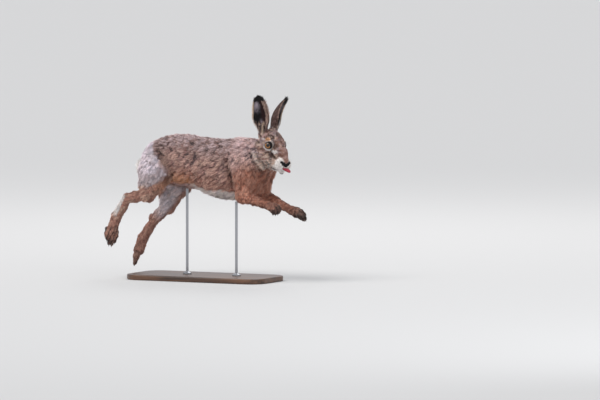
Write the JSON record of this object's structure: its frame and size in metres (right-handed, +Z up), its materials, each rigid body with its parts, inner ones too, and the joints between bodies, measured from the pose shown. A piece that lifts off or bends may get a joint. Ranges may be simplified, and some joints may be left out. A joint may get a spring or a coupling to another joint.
{
  "type": "brown hare",
  "caption": "Life-size brown hare at full stretch in mid leap, ears up and tongue out, held over a flat display base by slim rods.",
  "frame": {"origin": "centre of the underside of the display base", "axes": "+X the way the hare runs, +Y its left side, +Z up"},
  "size_m": [0.5444, 0.1768, 0.4902],
  "materials": {
    "coat": "matte short fur, grizzled buff and dark brown",
    "coat_legs": "matte short fur, rufous",
    "coat_tail": "matte fur, white with a black upper side",
    "coat_ears": "matte very short fur, black at the tips",
    "eye": "wet, amber iris with a dark pupil",
    "nose": "damp bare skin",
    "tongue": "wet bare skin",
    "stand_wood": "dark stained, satin",
    "stand_steel": "brushed"
  },
  "bodies": {
    "root": {"rump": "coat", "loin": "coat", "chest": "coat", "neck": "coat", "head": "coat", "nose": "nose", "tongue": "tongue", "eye_left": "eye", "ear_left": "coat_ears", "eye_right": "eye", "ear_right": "coat_ears", "tail": "coat_tail", "thigh_left": "coat", "shank_left": "coat_legs", "hind_foot_left": "coat_legs", "upper_arm_left": "coat_legs", "forearm_left": "coat_legs", "forepaw_left": "coat_legs", "thigh_right": "coat", "shank_right": "coat_legs", "hind_foot_right": "coat_legs", "upper_arm_right": "coat_legs", "forearm_right": "coat_legs", "forepaw_right": "coat_legs", "stand_base": "stand_wood", "stand_rod_front": "stand_steel", "stand_rod_rear": "stand_steel"}
  },
  "joints": []
}
